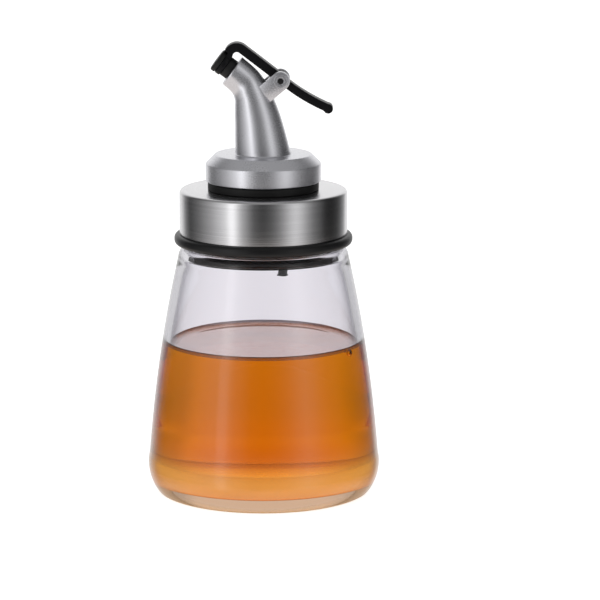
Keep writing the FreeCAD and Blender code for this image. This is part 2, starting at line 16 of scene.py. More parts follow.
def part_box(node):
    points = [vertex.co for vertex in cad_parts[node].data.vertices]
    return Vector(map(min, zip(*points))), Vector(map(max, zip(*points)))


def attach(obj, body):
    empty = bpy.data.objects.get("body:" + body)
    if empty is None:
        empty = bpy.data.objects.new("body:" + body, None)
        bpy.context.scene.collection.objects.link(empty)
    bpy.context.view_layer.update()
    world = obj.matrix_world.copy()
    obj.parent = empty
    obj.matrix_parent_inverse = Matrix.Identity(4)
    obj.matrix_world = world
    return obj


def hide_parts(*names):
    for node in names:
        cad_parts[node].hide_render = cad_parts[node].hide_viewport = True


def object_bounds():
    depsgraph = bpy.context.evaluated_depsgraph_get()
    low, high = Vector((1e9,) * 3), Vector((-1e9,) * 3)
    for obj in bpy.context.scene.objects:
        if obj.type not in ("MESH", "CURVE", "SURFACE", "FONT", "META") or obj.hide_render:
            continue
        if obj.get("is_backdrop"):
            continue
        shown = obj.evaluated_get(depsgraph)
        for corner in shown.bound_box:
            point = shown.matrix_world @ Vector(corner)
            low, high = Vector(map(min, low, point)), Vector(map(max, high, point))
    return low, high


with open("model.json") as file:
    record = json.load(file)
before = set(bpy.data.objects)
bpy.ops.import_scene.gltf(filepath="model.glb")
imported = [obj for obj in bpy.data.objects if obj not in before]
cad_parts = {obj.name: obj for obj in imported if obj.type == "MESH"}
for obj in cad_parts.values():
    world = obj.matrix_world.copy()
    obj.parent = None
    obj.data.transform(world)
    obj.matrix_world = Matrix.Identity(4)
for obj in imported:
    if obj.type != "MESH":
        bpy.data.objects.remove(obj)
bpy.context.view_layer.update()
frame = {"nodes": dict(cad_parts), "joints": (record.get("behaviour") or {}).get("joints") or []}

MM = 0.001
joints = {joint["name"]: joint for joint in frame["joints"]}
pivot = Vector(joints["lever_press"]["pos_m"])

# %% [markdown]
# ## Helpers for shapes
# Almost every piece of this bottle was made round: blown glass, drawn steel, turned moulds. On
# a computer that is one half outline, spun once around its axis. An outline is a short list of
# corners; a corner's own radius is put on by a vertex bevel before the spin, which is how a
# draughtsman would write it. Large curves are arcs with a stated radius.

# %% Outline helpers


def arc(start, end, radius, side, count=12):
    """Points of an arc between two corners, without the first; side 1 bulges to the left."""
    a, b = Vector(start), Vector(end)
    chord = b - a
    left = Vector((-chord.y, chord.x)).normalized() * side
    half = chord.length / 2
    centre = (a + b) / 2 - left * math.sqrt(radius * radius - half * half)
    first = a - centre
    sweep = -2 * math.asin(half / radius) * side
    points = []
    for index in range(1, count + 1):
        turn = Matrix.Rotation(sweep * index / count, 2)
        points.append(tuple(centre + turn @ first))
    return points


def turned(outline, rounds=(), closed=True, steps=128, axis=None):
    """Spins an outline of (radius, height) around Z, or around the axis matrix's own Z.

    rounds is a list of (corner number, radius). closed is False for an outline that starts and
    ends on the axis.
    """
    bm = bmesh.new()
    verts = [bm.verts.new((radius, 0, height)) for radius, height in outline]
    pairs = list(zip(verts, verts[1:]))
    if closed:
        pairs.append((verts[-1], verts[0]))
    for pair in pairs:
        bm.edges.new(pair)
    for corner, radius in rounds:
        bmesh.ops.bevel(bm, geom=[verts[corner]], offset=radius, offset_type="OFFSET",
                        segments=5, profile=0.5, affect="VERTICES", material=-1)
    bmesh.ops.spin(bm, geom=bm.verts[:] + bm.edges[:], cent=(0, 0, 0), axis=(0, 0, 1),
                   angle=2 * math.pi, steps=steps, use_merge=True)
    bmesh.ops.remove_doubles(bm, verts=bm.verts[:], dist=1e-6)
    bmesh.ops.recalc_face_normals(bm, faces=bm.faces[:])
    if axis is not None:
        bmesh.ops.transform(bm, matrix=axis, verts=bm.verts[:])
    return bm


def finished(name, bm, body, slot, material, *nodes, sharp=35):
    """Turns a bmesh into a piece that rides on a body and stands for CAD nodes."""
    for face in bm.faces:
        face.smooth = True
    for edge in bm.edges:
        if len(edge.link_faces) == 2:
            edge.smooth = edge.calc_face_angle(0) < math.radians(sharp)
    mesh = bpy.data.meshes.new(name)
    bm.to_mesh(mesh)
    bm.free()
    piece = bpy.data.objects.new(name, mesh)
    bpy.context.scene.collection.objects.link(piece)
    mesh.materials.append(material)
    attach(piece, body)
    if nodes:
        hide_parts(*nodes)
    print(f"{name}: {len(mesh.polygons)} faces on {body}")
    return piece


def joined(first, *others):
    """Puts the geometry of several bmeshes into the first."""
    for other in others:
        mesh = bpy.data.meshes.new("scratch")
        other.to_mesh(mesh)
        other.free()
        first.from_mesh(mesh)
        bpy.data.meshes.remove(mesh)
    return first


# %% [markdown]
# ## Helpers for finishes
# A finish is a small sum: a base value, plus some noise, times a mask. Writing that sum as
# Python arithmetic keeps it readable, so one class wraps a socket and adds the Math nodes.
# Coordinates are always the object's own, because every piece sits at the origin and the
# pattern then stays on the piece when it moves.

# %% Node helpers


class Number:
    """A number that varies over a surface."""

    def __init__(self, finish, socket):
        self.finish = finish
        self.socket = socket

    def sum(self, operation, other, swap=False):
        first, second = (other, self) if swap else (self, other)
        return self.finish.number("ShaderNodeMath", {"operation": operation},
                                  {0: first, 1: second})

    def __add__(self, other):
        return self.sum("ADD", other)

    def __radd__(self, other):
        return self.sum("ADD", other, True)

    def __rsub__(self, other):
        return self.sum("SUBTRACT", other, True)

    def __mul__(self, other):
        return self.sum("MULTIPLY", other)

    def __rmul__(self, other):
        return self.sum("MULTIPLY", other, True)

    def __pow__(self, other):
        return self.sum("POWER", other)


class Finish:
    """A material with one Principled shader."""

    def __init__(self, name, **constants):
        self.material = bpy.data.materials.new(name)
        self.material.use_nodes = True
        self.tree = self.material.node_tree
        self.shader = self.tree.nodes["Principled BSDF"]
        for socket, constant in constants.items():
            self.shader.inputs[socket.replace("_", " ")].default_value = constant

    def node(self, kind, settings=None, inputs=None):
        node = self.tree.nodes.new(kind)
        for name, setting in (settings or {}).items():
            setattr(node, name, setting)
        for name, value in (inputs or {}).items():
            self.feed(node.inputs[name], value)
        return node

    def feed(self, socket, value):
        if isinstance(value, Number):
            self.tree.links.new(value.socket, socket)
        elif isinstance(value, bpy.types.NodeSocket):
            self.tree.links.new(value, socket)
        else:
            socket.default_value = value

    def number(self, kind, settings=None, inputs=None, output=0):
        return Number(self, self.node(kind, settings, inputs).outputs[output])

    def drive(self, **values):
        for socket, value in values.items():
            self.feed(self.shader.inputs[socket.replace("_", " ")], value)

    def place(self):
        """The object's own coordinates."""
        return self.node("ShaderNodeTexCoord").outputs["Object"]

    def noise(self, scale, detail=4.0, roughness=0.5, where=None):
        return self.number("ShaderNodeTexNoise", {"noise_dimensions": "3D"}, {
            "Vector": where or self.place(), "Scale": scale, "Detail": detail,
            "Roughness": roughness})

    def band(self, value, low, high):
        """0 below low, 1 above high, smooth between."""
        return self.number("ShaderNodeMapRange", {"interpolation_type": "SMOOTHSTEP"}, {
            "Value": value, "From Min": low, "From Max": high})

    def blend(self, amount, first, second):
        """Mixes two colours."""
        node = self.node("ShaderNodeMix", {"data_type": "RGBA"})
        self.feed(node.inputs[0], amount)
        self.feed(node.inputs[6], first)
        self.feed(node.inputs[7], second)
        return node.outputs[2]

    def bump(self, height, distance, strength=1.0):
        node = self.node("ShaderNodeBump", {}, {
            "Height": height, "Distance": distance, "Strength": strength})
        self.feed(self.shader.inputs["Normal"], node.outputs[0])


# %% [markdown]
# ## Clear glass
# Pressed and blown soda glass is clear but never perfect: its surface waves a little where the
# mould was cold, and fingers leave faint smudges. The waves go into a very shallow bump, the
# smudges into the roughness. The shader does the rest through its index of refraction, 1.5.
# Glass seen along its wall looks darker than glass seen through it, so a painted grey shade comes
# in with the angle. Around the foot an amber colour is painted into the thick glass, standing in
# for the oil's light inside it.

# %% Glass
GLASS_TINT = (0.95, 0.94, 0.98, 1)
# painted shade: the grey the glass takes on towards its outline
GLASS_EDGE_SHADE = (0.24, 0.23, 0.26, 1)
# painted amber light: the oil's light inside the thick glass near the foot
FOOT_PAINTED_AMBER = (0.70, 0.46, 0.30, 1)
FOOT_CLEAR = (4 * MM, 12 * MM)
BLACK = (0.0, 0.0, 0.0, 1)


def height_in(finish):
    """The height of a spot above the table, read from the object's own coordinates."""
    return finish.number("ShaderNodeSeparateXYZ", {}, {0: finish.place()}, "Z")


glass = Finish("clear_glass", Base_Color=GLASS_TINT, Transmission_Weight=1.0, IOR=1.5)
smudges = glass.band(glass.noise(55, 5, 0.6), 0.56, 0.78)
slant = glass.number("ShaderNodeLayerWeight", {}, {"Blend": 0.5}, "Facing")
# Painted shade: the glass turns grey where it is seen along its wall, towards its outline.
shaded_outline = glass.blend(glass.band(slant, 0.5, 0.82), GLASS_TINT, GLASS_EDGE_SHADE)
# Painted amber light: the glass near the foot takes the colour of the oil's light.
painted_amber_zone = 1.0 - glass.band(height_in(glass), *FOOT_CLEAR)
glass.drive(Roughness=0.004 + 0.03 * smudges,
            Base_Color=glass.blend(painted_amber_zone, shaded_outline, FOOT_PAINTED_AMBER))
glass.bump(glass.noise(60, 2, 0.4), 0.00012, 0.35)
print("glass:", glass.material.name)

# %% [markdown]
# Where oil wets the glass there is almost no reflection, because both bend light nearly alike.
# So the wetted inside has its own finish without one. A real bottle's thick floor looks lit
# from within. This model's floor is perfectly smooth and mirrors instead, which comes out as
# dark brown bands, so a faint amber glow is painted in: on the wetted floor, fading up the wall,
# and under the foot, where the glass is a little hazy from standing on tables. It is a painter's
# shortcut and not real light.

# %% Wetted glass and the foot's underside
POOL_LIGHT = (1.0, 0.66, 0.30, 1)
POOL_STRENGTH = 0.17
POOL_FADE = (5.5 * MM, 24 * MM)
FOOT_LIGHT = (1.0, 0.62, 0.30, 1)
FOOT_STRENGTH = 0.10
wet_glass = Finish("wet_glass", Base_Color=GLASS_TINT, Transmission_Weight=1.0, IOR=1.5,
                   Specular_Tint=BLACK, Roughness=0.0, Emission_Strength=POOL_STRENGTH)
wet_glass.bump(wet_glass.noise(60, 2, 0.4), 0.00012, 0.35)
pool = 1.0 - wet_glass.band(height_in(wet_glass), *POOL_FADE)
ripple = 0.75 + 0.5 * wet_glass.noise(70, 3, 0.5)
wet_glass.drive(Emission_Color=wet_glass.blend(pool * ripple, BLACK, POOL_LIGHT))
# The foot's underside has the painted amber colour as its base colour, and a painted glow.
foot_glass = Finish("foot_glass", Base_Color=FOOT_PAINTED_AMBER, Transmission_Weight=1.0, IOR=1.5,
                    Emission_Color=FOOT_LIGHT, Emission_Strength=FOOT_STRENGTH)
foot_glass.drive(Roughness=0.2 + 0.2 * foot_glass.noise(500, 1, 0.5))
print("more glass:", wet_glass.material.name, foot_glass.material.name)

# %% [markdown]
# ## Olive oil
# Oil is clear too. Its amber colour comes from depth, as in a real bottle: the longer the way
# through it, the more blue and green it takes away. That is a Volume Absorption inside a closed
# mesh, so the thin edges stay pale by themselves. The free surface is the one place where oil
# meets air and mirrors the room, so it gets a coat there and nowhere else, and a painted grey that
# stands in for the room's reflection on it.

# %% Oil
OIL_TINT = (0.955, 0.76, 0.08, 1)
OIL_DENSITY = 100.0
CLEAR = (1.0, 1.0, 1.0, 1)
# painted grey on the free surface, standing in for the room's reflection
PAINTED_SURFACE_GREY = (0.22, 0.20, 0.23, 1)
oil_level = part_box("oil_fill")[1].z
oil = Finish("amber_oil", Base_Color=CLEAR, Transmission_Weight=1.0, IOR=1.47,
             Specular_Tint=BLACK, Roughness=0.0)
oil_depth = oil.node("ShaderNodeVolumeAbsorption", {}, {"Color": OIL_TINT, "Density": OIL_DENSITY})
oil.tree.links.new(oil_depth.outputs[0], oil.tree.nodes["Material Output"].inputs["Volume"])
# The top surface gets the real coat and a painted grey that stands in for the room's reflection.
top_surface = oil.band(height_in(oil), oil_level - 0.05 * MM, oil_level - 0.01 * MM)
oil.drive(Base_Color=oil.blend(top_surface, CLEAR, PAINTED_SURFACE_GREY), Coat_Weight=top_surface)
oil.bump(oil.noise(25, 2, 0.4), 0.0001, 0.2)
print("oil:", oil.material.name, "up to", round(oil_level / MM, 1), "mm")

# %% [markdown]
# ## Brushed steel
# The cap was spun against an abrasive belt, so its scratches run around it. A noise that is
# squeezed in height and in radius, and long around the axis, gives rings on the top and lines on
# the side from one formula.

# %% Steel
steel = Finish("brushed_steel", Metallic=1.0)
spot = steel.node("ShaderNodeSeparateXYZ", {}, {0: steel.place()})
east, north, up = [Number(steel, spot.outputs[index]) for index in range(3)]
radius = (east * east + north * north) ** 0.5
rings = steel.node("ShaderNodeCombineXYZ", {}, {
    0: east * 9, 1: north * 9, 2: (up + radius) * 2600}).outputs[0]
fine = steel.noise(1, 3, 0.6, rings)
worn = steel.band(steel.noise(14, 3, 0.5), 0.45, 0.75)
steel.drive(Base_Color=steel.blend(fine, (0.50, 0.495, 0.505, 1), (0.70, 0.695, 0.71, 1)),
            Roughness=0.15 + 0.10 * fine + 0.05 * worn)
steel.bump(fine, 0.00004, 0.25)

# %% [markdown]
# ## Silver lacquer on the spout
# The spout and collar are moulded plastic with a silver lacquer. Lacquer holds tiny metal
# flakes in a clear film: the base is metallic and a little rough, flakes vary its brightness,
# and a thin clear coat sits on top.

# %% Silver
silver = Finish("silver_lacquer", Metallic=0.8, Coat_Weight=0.2, Coat_Roughness=0.12)
flakes = silver.noise(5200, 1, 0.5)
cloud = silver.noise(45, 3, 0.5)
silver.drive(Base_Color=silver.blend(flakes, (0.62, 0.62, 0.655, 1), (0.76, 0.76, 0.80, 1)),
             Roughness=0.20 + 0.10 * cloud + 0.05 * flakes)
silver.bump(silver.noise(900, 2, 0.5), 0.00003, 0.2)


# %% [markdown]
# ## Black plastics and rubber
# Four blacks differ only in their sheen: the lever is moulded plastic with a faint orange peel,
# the flange and inner cap are satin, the rubber is dull with fine dust in its grain, and the
# pin's end is dark metal that has lost its shine. One function makes all four. The sealing ring
# is milky silicone.

# %% Blacks


def black(name, shade, rough, grain_scale, grain_depth, dust, shine=0.3):
    finish = Finish(name, Specular_IOR_Level=shine)
    grain = finish.noise(grain_scale, 3, 0.55)
    patch = finish.band(finish.noise(70, 4, 0.6), 0.5, 0.8)
    light = tuple(channel + dust for channel in shade)
    finish.drive(Base_Color=finish.blend(patch, (*shade, 1), (*light, 1)),
                 Roughness=rough + 0.10 * patch + 0.06 * grain)
    finish.bump(grain, grain_depth, 0.4)
    return finish.material


lever_black = black("lever_plastic", (0.007, 0.007, 0.008), 0.3, 420, 0.00004, 0.005, 0.12)
satin_black = black("satin_plastic", (0.007, 0.007, 0.0075), 0.34, 1100, 0.00003, 0.006)
rubber_black = black("soft_rubber", (0.008, 0.008, 0.008), 0.5, 1900, 0.00004, 0.01)
pin_black = black("pin_end", (0.01, 0.01, 0.011), 0.35, 1500, 0.00003, 0.008)
silicone = Finish("silicone", Base_Color=(0.82, 0.82, 0.8, 1), Transmission_Weight=0.4)
silicone.drive(Roughness=0.35 + 0.1 * silicone.noise(300))
print("finishes:", len(bpy.data.materials))

# %% [markdown]
# ## The glass bottle
# Outside, the wall is one very large arc that leans in from a rounded foot to a small shoulder.
# Inside, the same arc runs parallel, above a thick floor. Both are needed, because light bends
# at each of them. The outline starts on the axis on top of the floor, climbs the inside, turns
# over the rim, comes down the outside and ends on the axis under the floor.

# %% Bottle outline
CORNER = Vector((39.75, 14.0)) * MM
FOOT = Vector((36.5, 0.0)) * MM
SHOULDER = Vector((29.4, 83.0)) * MM
SHOULDER_ROUND = 3.4 * MM
WALL_BOW = 490 * MM
CORNER_ROUND = 16 * MM
WALL = 2.5 * MM
NECK = 25.7 * MM
NECK_BORE = 23.9 * MM
PUNT = Vector((27.0, 1.2)) * MM
FOOT_ROUND = 1.8 * MM
RIM_ROUND = 0.9 * MM
NECK_FILLET = 1.2 * MM
INNER_LIFT = 1.2 * MM
INNER_DROP = 1.7 * MM
INNER_ROUND = 4 * MM
FIT_GAP = 0.05 * MM
OIL_GROW = 0.2 * MM
shoulder_top = SHOULDER.y + SHOULDER_ROUND * 0.85
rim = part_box("glass_bottle")[1].z
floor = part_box("oil_fill")[0].z - FIT_GAP
inner_corner = Vector((CORNER.x - WALL, CORNER.y + 2 * MM))
inner_foot = Vector((FOOT.x - CORNER_ROUND / 3, floor))
inner_shoulder = Vector((SHOULDER.x - WALL, SHOULDER.y - WALL))


def bottle_cavity(grow=0.0):
    """The inside from the floor's axis up to the shoulder, pushed outwards by grow."""
    foot = (inner_foot.x, inner_foot.y - grow)
    corner = (inner_corner.x + grow, inner_corner.y)
    shoulder = (inner_shoulder.x + grow, inner_shoulder.y)
    points = [(0, floor - grow), foot]
    points += arc(foot, corner, CORNER_ROUND - WALL, -1, 14)
    points += arc(corner, shoulder, WALL_BOW, -1, 24)
    return points


def side_radius(height, points):
    """The radius of an outline at a height, straight between its points."""
    for (r0, z0), (r1, z1) in zip(points, points[1:]):
        if z0 <= height <= z1:
            return r0 + (r1 - r0) * (height - z0) / (z1 - z0)
    raise ValueError("no wall at that height")


inner_wall = bottle_cavity()
neck_foot = shoulder_top + NECK_FILLET
lip_foot = rim - RIM_ROUND
outline = inner_wall + [(inner_shoulder.x, inner_shoulder.y + INNER_LIFT)]
outline += arc(outline[-1], (NECK_BORE, shoulder_top - INNER_DROP), INNER_ROUND, -1, 6)
outline.append((NECK_BORE, lip_foot))
outline += arc((NECK_BORE, lip_foot), (NECK, lip_foot), RIM_ROUND * 1.001, 1, 10)
outline.append((NECK, neck_foot))
outline += arc((NECK, neck_foot), (NECK + NECK_FILLET, shoulder_top), NECK_FILLET, -1, 5)
outline.append((SHOULDER.x - SHOULDER_ROUND * 0.62, shoulder_top))
outline += arc(outline[-1], SHOULDER, SHOULDER_ROUND, 1, 8)
outline += arc(SHOULDER, CORNER, WALL_BOW, 1, 28)
outline += arc(CORNER, FOOT, CORNER_ROUND, 1, 12)
foot_corner = len(outline) - 1
outline += [(PUNT.x, 0), (0, PUNT.y)]
bottle = turned(outline, [(foot_corner, FOOT_ROUND)], closed=False, steps=160)
print("bottle outline:", len(outline), "points")

# %% [markdown]
# The bottle is one skin, but its faces have three finishes: plain glass, the inside that oil
# wets, and the underside of the foot.

# %% Bottle finishes
PLAIN, WETTED, UNDERSIDE = range(3)
for face in bottle.faces:
    spot = face.calc_center_median()
    reach = math.hypot(spot.x, spot.y)
    if floor - 0.1 * MM < spot.z < oil_level:
        wetted = reach < inner_foot.x or reach < side_radius(spot.z, inner_wall) + OIL_GROW
        face.material_index = WETTED if wetted else PLAIN
    elif spot.z < PUNT.y + 0.1 * MM and face.normal.z < -0.5:
        face.material_index = UNDERSIDE
body = finished("glass_body", bottle, "bottle", "clear_glass", glass.material, "glass_bottle")
body.data.materials.append(wet_glass.material)
body.data.materials.append(foot_glass.material)

# %% [markdown]
# The neck's thread is a half-round bead. A small circle spun around the axis while it climbs
# makes it: bmesh.ops.spin takes a step vector for exactly that.

# %% Neck thread
THREAD_ROUND = 0.9 * MM
THREAD_PITCH = 4.0 * MM
THREAD_TURNS = 1.25
THREAD_START = -30
THREAD_LIFT = 4.8 * MM


def thread_bead(radius, foot, steps=80):
    """A half-round bead that climbs around a wall of that radius."""
    bm = bmesh.new()
    place = (Matrix.Rotation(math.radians(THREAD_START), 4, "Z")
             @ Matrix.Translation((radius, 0, foot)) @ Matrix.Rotation(math.pi / 2, 4, "X"))
    bmesh.ops.create_circle(bm, cap_ends=False, segments=14, radius=THREAD_ROUND, matrix=place)
    start = bm.edges[:]
    end = bmesh.ops.spin(bm, geom=bm.verts[:] + bm.edges[:], cent=(0, 0, 0), axis=(0, 0, 1),
                         dvec=(0, 0, THREAD_PITCH * THREAD_TURNS / steps),
                         angle=2 * math.pi * THREAD_TURNS, steps=steps)["geom_last"]
    bmesh.ops.holes_fill(bm, edges=start + [e for e in end if isinstance(e, bmesh.types.BMEdge)])
    bmesh.ops.recalc_face_normals(bm, faces=bm.faces[:])
    return bm


neck_thread_foot = shoulder_top + THREAD_LIFT
finished("glass_thread", thread_bead(NECK, neck_thread_foot), "bottle", "clear_glass",
         glass.material, "glass_bottle")

# %% [markdown]
# ## The oil
# The oil fills the cavity and reaches a hair into the glass, so no film of air is left between
# them. At its edge the surface creeps up the wall; that curved rim is what the eye reads as a
# liquid. A few air bubbles lie just under the surface.

# %% Oil body
MENISCUS = 1.3 * MM
MENISCUS_REACH = 4.0 * MM
MENISCUS_STEPS = 8
cavity = bottle_cavity(OIL_GROW)
edge = (side_radius(oil_level + MENISCUS, cavity), oil_level + MENISCUS)
oil_outline = [point for point in cavity if point[1] < oil_level] + [edge]
for step in range(1, MENISCUS_STEPS + 1):
    share = step / MENISCUS_STEPS
    oil_outline.append((edge[0] - MENISCUS_REACH * share ** 1.5,
                        oil_level + MENISCUS * (1 - share) ** 2))
oil_outline.append((0, oil_level))
oil_bm = turned(oil_outline, closed=False, steps=160)
BUBBLES = [
    # x, y and radius
    (-0.5 * MM, 7.0 * MM, 0.9 * MM), (27.2 * MM, -14.0 * MM, 1.3 * MM),
    (26.0 * MM, -15.9 * MM, 0.5 * MM), (-14.0 * MM, 21.0 * MM, 0.5 * MM),
]
bubbles = bmesh.new()
for x, y, size in BUBBLES:
    spot = Matrix.Translation((x, y, oil_level - size - FIT_GAP))
    bmesh.ops.create_icosphere(bubbles, subdivisions=3, radius=size, matrix=spot)
bmesh.ops.reverse_faces(bubbles, faces=bubbles.faces[:])
finished("oil", joined(oil_bm, bubbles), "bottle", "oil", oil.material, "oil_fill")

# %% [markdown]
# ## The steel cap
# A drawn cup of thin sheet, turned upside down, with a round hole for the bung. Its top edge has
# the radius of the drawing die, and the outer edge of its lower rim is broken.

# %% Cap
shell_low, shell_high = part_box("lid_shell")
SHEET = 0.5 * MM
HOLE = 14.3 * MM
DRAW_ROUND = 1.2 * MM
cap_rounds = [(1, DRAW_ROUND), (4, DRAW_ROUND - SHEET), (0, 0.12 * MM)]
cap = [
    (shell_high.x, shell_low.z), (shell_high.x, shell_high.z), (HOLE, shell_high.z),
    (HOLE, shell_high.z - SHEET), (shell_high.x - SHEET, shell_high.z - SHEET),
    (shell_high.x - SHEET, shell_low.z),
]
finished("steel_cap", turned(cap, cap_rounds), "lid", "brushed_cap", steel.material,
         "lid_shell")

# %% [markdown]
# ## The black inner cap
# It carries everything the steel hides: the threaded skirt, the flange that shows as a black
# ring below the steel, the plug skirt that dips into the neck, and the socket for the bung.

# %% Inner cap
liner_low, liner_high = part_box("lid_liner")
flange = liner_high.x
FLANGE_HEIGHT = 3.65 * MM
FLANGE_ROUND = 1.5 * MM
LINER = shell_high.x - SHEET - FIT_GAP
LINER_BORE = 26.9 * MM
PLATE = 2.35 * MM
RUNNING_GAP = 0.3 * MM
PLUG = NECK_BORE - RUNNING_GAP
PLUG_WALL = 1.8 * MM
SOCKET = 14.0 * MM
SOCKET_WALL = 1.5 * MM
SOCKET_DEPTH = 10.95 * MM
seat = shell_low.z - FIT_GAP
under = liner_high.z - PLATE
socket_end = liner_high.z - SOCKET_DEPTH
inner_cap = [
    (flange, seat), (LINER, seat), (LINER, liner_high.z), (SOCKET, liner_high.z),
    (SOCKET, socket_end), (SOCKET + SOCKET_WALL, socket_end), (SOCKET + SOCKET_WALL, under),
    (PLUG - PLUG_WALL, under), (PLUG - PLUG_WALL, liner_low.z), (PLUG, liner_low.z),
    (PLUG, under), (LINER_BORE, under), (LINER_BORE, seat - FLANGE_HEIGHT),
    (flange, seat - FLANGE_HEIGHT),
]
inner_rounds = [(0, FLANGE_ROUND), (13, FLANGE_ROUND), (12, 0.3 * MM), (8, 0.4 * MM),
                (9, 0.6 * MM)]
finished("inner_cap", turned(inner_cap, inner_rounds), "lid", "black_plastic", satin_black,
         "lid_liner")
finished("lid_thread", thread_bead(LINER_BORE, neck_thread_foot - THREAD_PITCH / 2), "lid",
         "black_plastic", satin_black, "lid_liner")

# %% [markdown]
# ## The bung
# Soft rubber: a thick ring that shows under the collar, and a plug with two sealing ribs in the
# lid's socket.

# %% Bung
bung_low, bung_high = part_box("bung")
RIB = SOCKET - FIT_GAP
SHAFT = RIB - 0.4 * MM
RIB_PLACES = (0.35, 0.75)
BUNG_BORE = 10.05 * MM
RIB_HEIGHT = 1.6 * MM
lid_top = shell_high.z
bung_outline = [(BUNG_BORE, bung_low.z), (BUNG_BORE, bung_high.z), (bung_high.x, bung_high.z),
                (bung_high.x, lid_top + FIT_GAP), (SHAFT, lid_top + FIT_GAP)]
for share in RIB_PLACES:
    high = lid_top - (lid_top - bung_low.z) * share
    bung_outline += [(SHAFT, high), (RIB, high - RIB_HEIGHT / 3),
                     (RIB, high - RIB_HEIGHT * 2 / 3), (SHAFT, high - RIB_HEIGHT)]
bung_outline.append((SHAFT, bung_low.z))
finished("rubber_bung", turned(bung_outline, [(2, 0.9 * MM), (3, 0.4 * MM)]), "pourer",
         "black_rubber", rubber_black, "bung")

# %% [markdown]
# ## Collar and spout
# The collar is turned: a plain disc with a wide chamfer, its outer edges broken a little. The spout
# is not round about one axis, because it leans over; it is a row of rings along a curve, each
# tilted and sized by a smooth curve through a few stations, and then bridged one to the next.
# Outside and inside are one skin that folds over at the mouth.

# %% Collar
spout_low, spout_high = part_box("spout_body")
collar_foot = bung_high.z + FIT_GAP
COLLAR_HEIGHT = 9.3 * MM
CHAMFER = 3.3 * MM
SLEEVE = 10.0 * MM
STEM = 9.6 * MM
SPOUT_WALL = 1.0 * MM
collar_radius = spout_high.y
collar_top = collar_foot + COLLAR_HEIGHT
collar = [
    (SLEEVE, spout_low.z), (SLEEVE, collar_foot), (collar_radius, collar_foot),
    (collar_radius, collar_top - CHAMFER), (collar_radius - CHAMFER, collar_top),
    (STEM - SPOUT_WALL, collar_top), (STEM - SPOUT_WALL, spout_low.z),
]
collar_rounds = [(2, 0.35 * MM), (3, 0.3 * MM), (4, 0.3 * MM)]
finished("collar", turned(collar, collar_rounds, steps=160), "pourer", "silver_plastic",
         silver.material, "spout_body")

# %% Spout
MOUTH = Vector((-10.6, 0, 28.7)) * MM + Vector((0, 0, collar_top))
MOUTH_TILT = 53.3
MOUTH_RADIUS = 5.7 * MM
MOUTH_BORE = 2.9 * MM
STATIONS = [
    # x, height above the collar, tilt in degrees, radius
    (0.0, -0.5 * MM, 0.0, STEM),
    (-0.97 * MM, 6.06 * MM, 5.94, 8.77 * MM),
    (-2.10 * MM, 12.73 * MM, 13.53, 7.80 * MM),
    (-4.15 * MM, 20.2 * MM, 33.0, 6.65 * MM),
    (-5.30 * MM, 23.0 * MM, 44.98, 6.30 * MM),
    (-7.15 * MM, 25.65 * MM, 51.0, 5.80 * MM),
    (-10.6 * MM, 28.7 * MM, MOUTH_TILT, MOUTH_RADIUS),
]


def smooth_row(rows, count):
    """A Catmull-Rom curve through rows of numbers, count steps for each span."""
    first = [2 * a - b for a, b in zip(rows[0], rows[1])]
    last = [2 * a - b for a, b in zip(rows[-1], rows[-2])]
    padded = [first] + list(rows) + [last]
    out = [list(rows[0])]
    for index in range(1, len(rows)):
        p0, p1, p2, p3 = padded[index - 1:index + 3]
        for step in range(1, count + 1):
            s = step / count
            out.append([
                0.5 * (2 * b + (c - a) * s + (2 * a - 5 * b + 4 * c - d) * s * s
                       + (3 * b - a - 3 * c + d) * s ** 3)
                for a, b, c, d in zip(p0, p1, p2, p3)])
    return out


def ring(bm, x, height, tilt, radius, segments=72):
    """A circle of vertices across the spout's axis."""
    place = (Matrix.Translation((x, 0, collar_top + height))
             @ Matrix.Rotation(math.radians(-tilt), 4, "Y"))
    made = bmesh.ops.create_circle(bm, cap_ends=False, segments=segments, radius=radius,
                                   matrix=place)
    return list({edge for vert in made["verts"] for edge in vert.link_edges})


def mouth_ring(inset, radius):
    """A ring at the mouth, inset back along its axis."""
    lean = math.radians(MOUTH_TILT)
    return (MOUTH.x + math.sin(lean) * inset,
            MOUTH.z - collar_top - math.cos(lean) * inset, MOUTH_TILT, radius)


SPAN_STEPS = 8
LIP = 0.3 * MM
outside = smooth_row(STATIONS, SPAN_STEPS)
outside[-1] = mouth_ring(LIP, MOUTH_RADIUS)
lip = [mouth_ring(0.09 * MM, MOUTH_RADIUS - 0.09 * MM), mouth_ring(0, MOUTH_RADIUS - LIP),
       mouth_ring(0, MOUTH_BORE + 0.25 * MM), mouth_ring(0.07 * MM, MOUTH_BORE + 0.07 * MM)]
bore_stations = [(x, height, tilt, radius - SPOUT_WALL) for x, height, tilt, radius in STATIONS]
bore_stations[-1] = mouth_ring(LIP, MOUTH_BORE)
inside = smooth_row(bore_stations, SPAN_STEPS)[::-1]
root = [(0, -0.05 * MM, 0, STEM + 0.35 * MM), (0, 0.1 * MM, 0, STEM + 0.12 * MM),
        (0, 0.3 * MM, 0, STEM + 0.02 * MM)]
stations = root + [row for row in outside if row[1] > 0.6 * MM] + lip + inside
bm = bmesh.new()
loops = [ring(bm, *row) for row in stations]
for lower, upper in zip(loops, loops[1:]):
    bmesh.ops.bridge_loops(bm, edges=lower + upper)
bmesh.ops.bridge_loops(bm, edges=loops[-1] + loops[0])
bmesh.ops.recalc_face_normals(bm, faces=bm.faces[:])
finished("spout", bm, "pourer", "silver_plastic", silver.material, "spout_body")

# %% [markdown]
# ## The two ears and the pin
# Each ear is a flat plate with a round end: an outline is filled, pushed to its thickness, and
# its sharp edges get a small bevel. A low ring stands around the pin. The pin's end is dark and
# sits a little below that ring.

